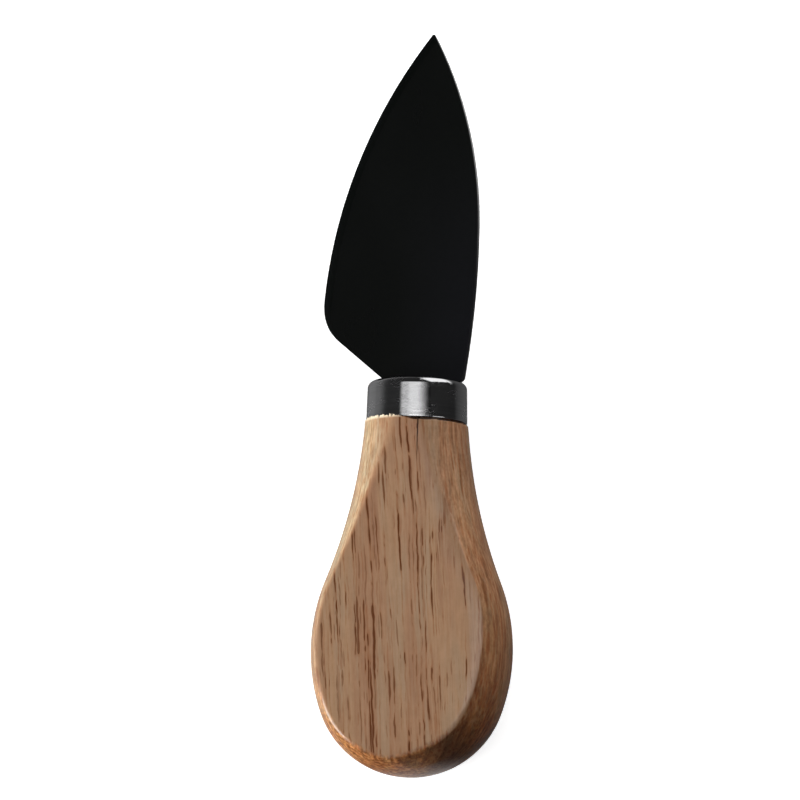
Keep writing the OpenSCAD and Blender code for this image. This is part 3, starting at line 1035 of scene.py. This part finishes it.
def coated_blade(finish):
    """The blade with its edges broken, so that the coating catches the light along them."""
    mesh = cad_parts["blade"].data.copy()
    shape = bmesh.new()
    shape.from_mesh(mesh)
    bmesh.ops.remove_doubles(shape, verts=shape.verts[:], dist=MERGE_DISTANCE)
    bmesh.ops.dissolve_limit(shape, angle_limit=FACET_ANGLE, verts=shape.verts[:], edges=shape.edges[:])
    shape.to_mesh(mesh)
    shape.free()
    blank = linked(bpy.data.objects.new("blade_blank", mesh))
    bevel = blank.modifiers.new("broken_edges", "BEVEL")
    bevel.width = BLADE_EDGE_BREAK
    bevel.segments = BLADE_EDGE_SEGMENTS
    bevel.limit_method = "ANGLE"
    bevel.angle_limit = BREAK_ANGLE
    blade = baked(blank, "coated_blade")
    blade.data.materials.clear()
    blade.data.materials.append(finish)
    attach(blade, "root")
    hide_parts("blade")


# Studio

def photo_camera():
    """A camera at the photograph's viewing angle."""
    data = bpy.data.cameras.new("camera")
    data.sensor_width = SENSOR
    data.lens = FOCAL_PIXELS / IMAGE_PIXELS * SENSOR
    data.shift_x, data.shift_y = CAMERA_SHIFT
    to_right = Vector((math.cos(CAMERA_TO_RIGHT), 0, -math.sin(CAMERA_TO_RIGHT)))
    back = Vector((
        math.sin(CAMERA_TO_RIGHT) * math.cos(CAMERA_TO_BUTT),
        -math.sin(CAMERA_TO_BUTT),
        math.cos(CAMERA_TO_RIGHT) * math.cos(CAMERA_TO_BUTT),
    ))
    up = back.cross(to_right)
    turned_right = to_right * math.cos(CAMERA_ROLL) + up * math.sin(CAMERA_ROLL)
    turned_up = up * math.cos(CAMERA_ROLL) - to_right * math.sin(CAMERA_ROLL)
    place = Matrix((turned_right, turned_up, back)).transposed().to_4x4()
    place.translation = back * CAMERA_DISTANCE + Vector((0, 0, AXIS_Z))
    camera = linked(bpy.data.objects.new("camera", data))
    camera.matrix_world = place
    bpy.context.scene.camera = camera


def softbox(name, way, size, radiance, mirrored):
    """A flat lamp of even brightness that faces the knife and may be kept out of the reflections."""
    target = Vector((0, LAMP_TARGET_Y, AXIS_Z))
    data = bpy.data.lights.new(name, "AREA")
    data.shape = "RECTANGLE"
    data.size, data.size_y = size
    data.energy = radiance * math.pi * data.size * data.size_y
    lamp = linked(bpy.data.objects.new(name, data))
    lamp.location = target + Vector(way).normalized() * LAMP_DISTANCE
    lamp.rotation_euler = (target - lamp.location).to_track_quat("-Z", "Y").to_euler()
    lamp.visible_camera = False
    lamp.visible_glossy = mirrored


def shown_white(nodes):
    """One for rays from the camera, from a mirror or through glass, which see a white studio."""
    rays = nodes.add("ShaderNodeLightPath").outputs
    seen = nodes.math("MAXIMUM", rays["Is Camera Ray"], rays["Is Glossy Ray"])
    return nodes.math("MAXIMUM", seen, rays["Is Transmission Ray"])


def studio_world():
    """White surroundings for the camera and for mirrors, which light the knife only dimly."""
    world = bpy.data.worlds.new("studio")
    bpy.context.scene.world = world
    world.use_nodes = True
    nodes = Nodes(world.node_tree)
    light = world.node_tree.nodes["Background"]
    light.inputs["Strength"].default_value = 1.0
    nodes.feed(light.inputs["Color"], nodes.blend(shown_white(nodes), WORLD_DIM, WHITE))


def studio_floor():
    """A wide white floor that keeps a faint shadow."""
    shape = bmesh.new()
    bmesh.ops.create_grid(shape, x_segments=1, y_segments=1, size=FLOOR_SIZE / 2)
    bmesh.ops.translate(shape, verts=shape.verts[:], vec=(0, 0, -FLOOR_DROP))
    mesh = bpy.data.meshes.new("floor")
    shape.to_mesh(mesh)
    shape.free()
    material, nodes, shader, point = fresh_material("floor_paper")
    seen = shown_white(nodes)
    off = nodes.add("ShaderNodeVectorMath", {0: point}, operation="LENGTH").outputs["Value"]
    nodes.feed_all(shader, {
        "Base Color": nodes.blend(seen, PAPER_TO_THE_LIGHT, PAPER),
        "Roughness": 1.0,
        "Specular IOR Level": 0.0,
        "Emission Color": WHITE,
        "Emission Strength": nodes.product(seen, nodes.ramp(off, *FLOOR_GLOW)),
    })
    mesh.materials.append(material)
    floor = linked(bpy.data.objects.new("floor", mesh))


def reflected(name, corners, faces, glow):
    """A panel that only reflections show; its glow is a number, or a function of the nodes and a place."""
    mesh = bpy.data.meshes.new(name)
    mesh.from_pydata(corners, [], faces)
    material, nodes, shader, point = fresh_material(name)
    nodes.feed_all(shader, {
        "Base Color": BLACK,
        "Specular IOR Level": 0.0,
        "Emission Color": WHITE,
        "Emission Strength": glow(nodes, point) if callable(glow) else glow,
    })
    mesh.materials.append(material)
    panel = linked(bpy.data.objects.new(name, mesh))
    panel.visible_camera = False
    panel.visible_diffuse = False
    panel.visible_shadow = False


def floor_flag(name, low, high, glow):
    """A level flag just above the floor."""
    outline = (low, (high[0], low[1]), high, (low[0], high[1]))
    reflected(name, [(x, y, -FLOOR_DROP / 2) for x, y in outline], [(0, 1, 2, 3)], glow)


def card(name, corners, glow):
    """A flat card with its corners in millimetres."""
    reflected(name, [Vector(corner) * MM for corner in corners], [tuple(range(len(corners)))], glow)


def arch(name, angles, stretch, glow):
    """A panel bent round the handle's axis, between two angles from straight above."""
    start, end = angles
    corners = []
    for step in range(ARCH_STEPS + 1):
        angle = math.radians(start + (end - start) * step / ARCH_STEPS)
        for y in stretch:
            corners.append((ARCH_R * math.sin(angle), y, AXIS_Z + ARCH_R * math.cos(angle)))
    faces = [(2 * step, 2 * step + 1, 2 * step + 3, 2 * step + 2) for step in range(ARCH_STEPS)]
    reflected(name, corners, faces, glow)


def dark_room():
    """Walls and a ceiling of dark cloth that the steel mirrors, a little darker on the right."""
    far = ROOM_HALF
    corners = [(x, y, z) for z in (0, far) for y in (-far, far) for x in (-far, far)]
    faces = [(0, 1, 5, 4), (1, 3, 7, 5), (3, 2, 6, 7), (2, 0, 4, 6), (4, 5, 7, 6)]
    reflected("dark_room", corners, faces, room_glow)


def room_glow(nodes, point):
    """Fades across the room."""
    return nodes.ramp(nodes.parts(point)["X"], *ROOM_GLOW)


def soft_band(left, right, brightness):
    """The glow of an arch that is even in the middle and soft at both ends."""
    def glow(nodes, point):
        """Rises at the left end and falls at the right one."""
        x = nodes.parts(point)["X"]
        rise = nodes.ramp(x, *(ARCH_R * share for share in left), smooth=True)
        fall = nodes.ramp(x, *(ARCH_R * share for share in right), smooth=True)
        return nodes.product(rise, fall, brightness)
    return glow


def left_wall_glow(nodes, point):
    """Brightest at the floor beside the ferrule, with soft ends."""
    place = nodes.parts(point)
    height = nodes.ramp(place["Z"], *LEFT_WALL_HEIGHTS, smooth=True)
    ends = nodes.ramp(nodes.math("ABSOLUTE", place["Y"]), *LEFT_WALL_ENDS, smooth=True)
    return nodes.math("ADD", nodes.product(height, ends), LEFT_WALL_LEAST)


def left_floor_glow(nodes, point):
    """Dim under the ferrule, where the knife's shadow is painted, brightest a few centimetres off."""
    off = nodes.math("ABSOLUTE", nodes.parts(point)["X"])
    return nodes.math("MINIMUM", nodes.ramp(off, *LEFT_FLOOR_RISE), nodes.ramp(off, *LEFT_FLOOR_FALL))


def right_floor_glow(nodes, point):
    """A dim glow close to the knife only."""
    return nodes.ramp(nodes.parts(point)["X"], *RIGHT_FLOOR_GLOW)


def blade_floor_glow(nodes, point):
    """Bright beside the blade, fading in past the ferrule."""
    return nodes.ramp(nodes.parts(point)["Y"], *BLADE_FLOOR_GLOW, smooth=True)


def butt_floor_glow(nodes, point):
    """A glow under the middle of the butt only."""
    off = nodes.math("ABSOLUTE", nodes.parts(point)["X"])
    return nodes.ramp(off, *BUTT_FLOOR_GLOW, smooth=True)


def mirrored_panels():
    """The arches, cards, walls and flags that the steel, the coating and the lacquer reflect."""
    arch("arch_over_ferrule", *FERRULE_ARCH, soft_band(*FERRULE_BAND))
    arch("arch_over_right_edge", *RIGHT_EDGE_ARCH, soft_band(*RIGHT_EDGE_BAND))
    arch("arch_over_lower_rim", *LOWER_RIM_ARCH, LOWER_RIM_GLOW)
    card("card_past_shoulder", [(x, SHOULDER_CARD_Y, z) for x, z in SHOULDER_CARD], SHOULDER_CARD_GLOW)
    card("card_right_of_rim", [(RIM_CARD_X, y, z) for y, z in RIM_CARD], RIM_CARD_GLOW)
    card("wall_left_of_ferrule", [(LEFT_WALL_X, y, z) for y, z in LEFT_WALL], left_wall_glow)
    dark_room()
    far = ROOM_HALF
    blade_right, blade_end = BLADE_FLOOR_HIGH
    blade_start = BLADE_FLOOR_LOW[1]
    for name, low, high, glow in (
        ("floor_left_of_ferrule", (-far, NECK_Y), (0, far), left_floor_glow),
        ("floor_left_of_handle", (-far, BUTT_Y), (0, NECK_Y), HANDLE_FLOOR_GLOW),
        ("floor_right", (0, BUTT_Y), (far, blade_start), right_floor_glow),
        ("floor_right_of_blade", BLADE_FLOOR_LOW, BLADE_FLOOR_HIGH, blade_floor_glow),
        ("floor_far_right", (blade_right, blade_start), (far, far), right_floor_glow),
        ("floor_past_the_tip", (0, blade_end), (blade_right, far), right_floor_glow),
        ("floor_past_the_butt", (-far, -far), (far, BUTT_Y), butt_floor_glow),
    ):
        floor_flag(name, low, high, glow)


def studio():
    """Lamps, reflections and white surroundings."""
    bpy.context.scene.view_settings.view_transform = "Standard"
    for lamp in LAMPS:
        softbox(*lamp)
    mirrored_panels()
    studio_world()
    studio_floor()


photo_camera()
studio()
turned_handle(lacquered_wood())
coated_blade(black_coating())
for node, finish in (("ferrule", polished_steel()), ("tang_adhesive", cured_epoxy())):
    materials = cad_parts[node].data.materials
    materials.clear()
    materials.append(finish)
